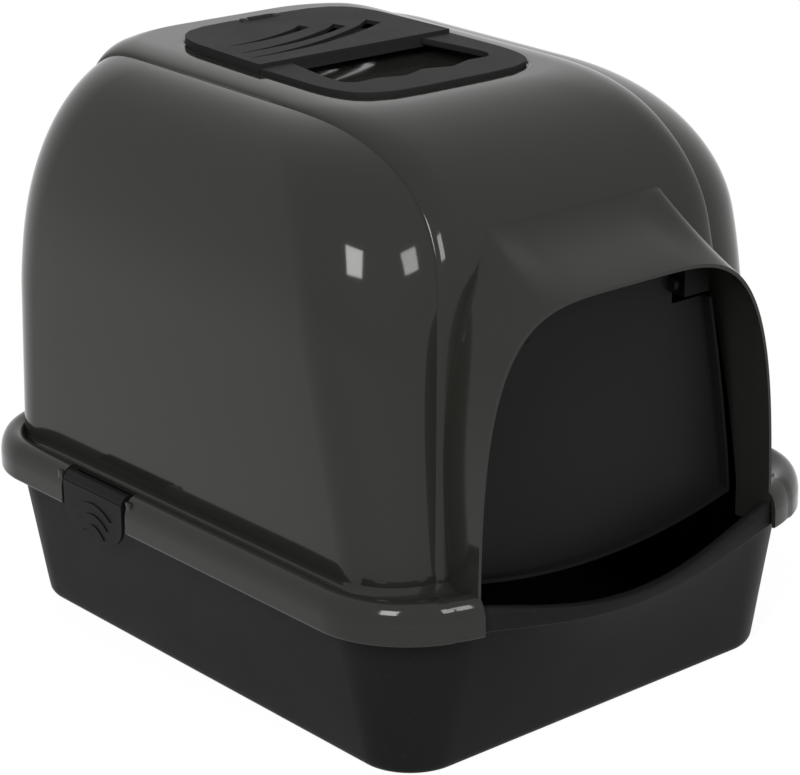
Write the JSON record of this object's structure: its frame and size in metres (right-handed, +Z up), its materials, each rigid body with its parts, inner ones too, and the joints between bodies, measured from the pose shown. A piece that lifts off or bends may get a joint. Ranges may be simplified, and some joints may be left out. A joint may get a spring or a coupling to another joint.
{
  "type": "hooded cat litter box",
  "caption": "Hooded cat litter box with a clipped-on domed hood, an awning over a swing door, side latches, a top carrying frame and a slotted filter lid.",
  "frame": {"origin": "middle of the tray's underside, at floor level", "axes": "+Z up, the door faces -Y, +X is to the right when the door is seen from the front"},
  "size_m": [0.4026, 0.4999, 0.4093],
  "materials": {
    "tray": "matte black moulding",
    "hood": "glossy dark warm grey moulding",
    "door": "satin black plate",
    "latch": "satin black moulding",
    "panel": "matte charcoal moulding",
    "filter": "black charcoal felt"
  },
  "bodies": {
    "tray": {"tray": "tray"},
    "hood": {"hood": "hood", "door_bracket_left": "tray", "door_bracket_right": "tray", "handle_frame": "panel", "charcoal_filter": "filter"},
    "door": {"swing_door": "door"},
    "latch_l": {"latch_left": "latch"},
    "latch_r": {"latch_right": "latch"},
    "lid": {"filter_lid": "panel"}
  },
  "joints": [
    {"name": "hood_lift", "type": "slide", "parent": "tray", "child": "hood", "axis": [0, 0, 1], "range_m": [0, 0.15]},
    {"name": "door_swing", "type": "hinge", "parent": "hood", "child": "door", "pos_m": [0, -0.208, 0.277], "axis": [1, 0, 0], "range_deg": [-70, 70]},
    {"name": "latch_left_pivot", "type": "hinge", "parent": "hood", "child": "latch_l", "pos_m": [-0.1938, 0.0755, 0.12], "axis": [0, 1, 0], "range_deg": [0, 70]},
    {"name": "latch_right_pivot", "type": "hinge", "parent": "hood", "child": "latch_r", "pos_m": [0.1938, 0.0755, 0.12], "axis": [0, -1, 0], "range_deg": [0, 70]},
    {"name": "lid_hinge", "type": "hinge", "parent": "hood", "child": "lid", "pos_m": [0, 0.13764, 0.40573], "axis": [-1, 0, 0], "range_deg": [0, 100]}
  ]
}
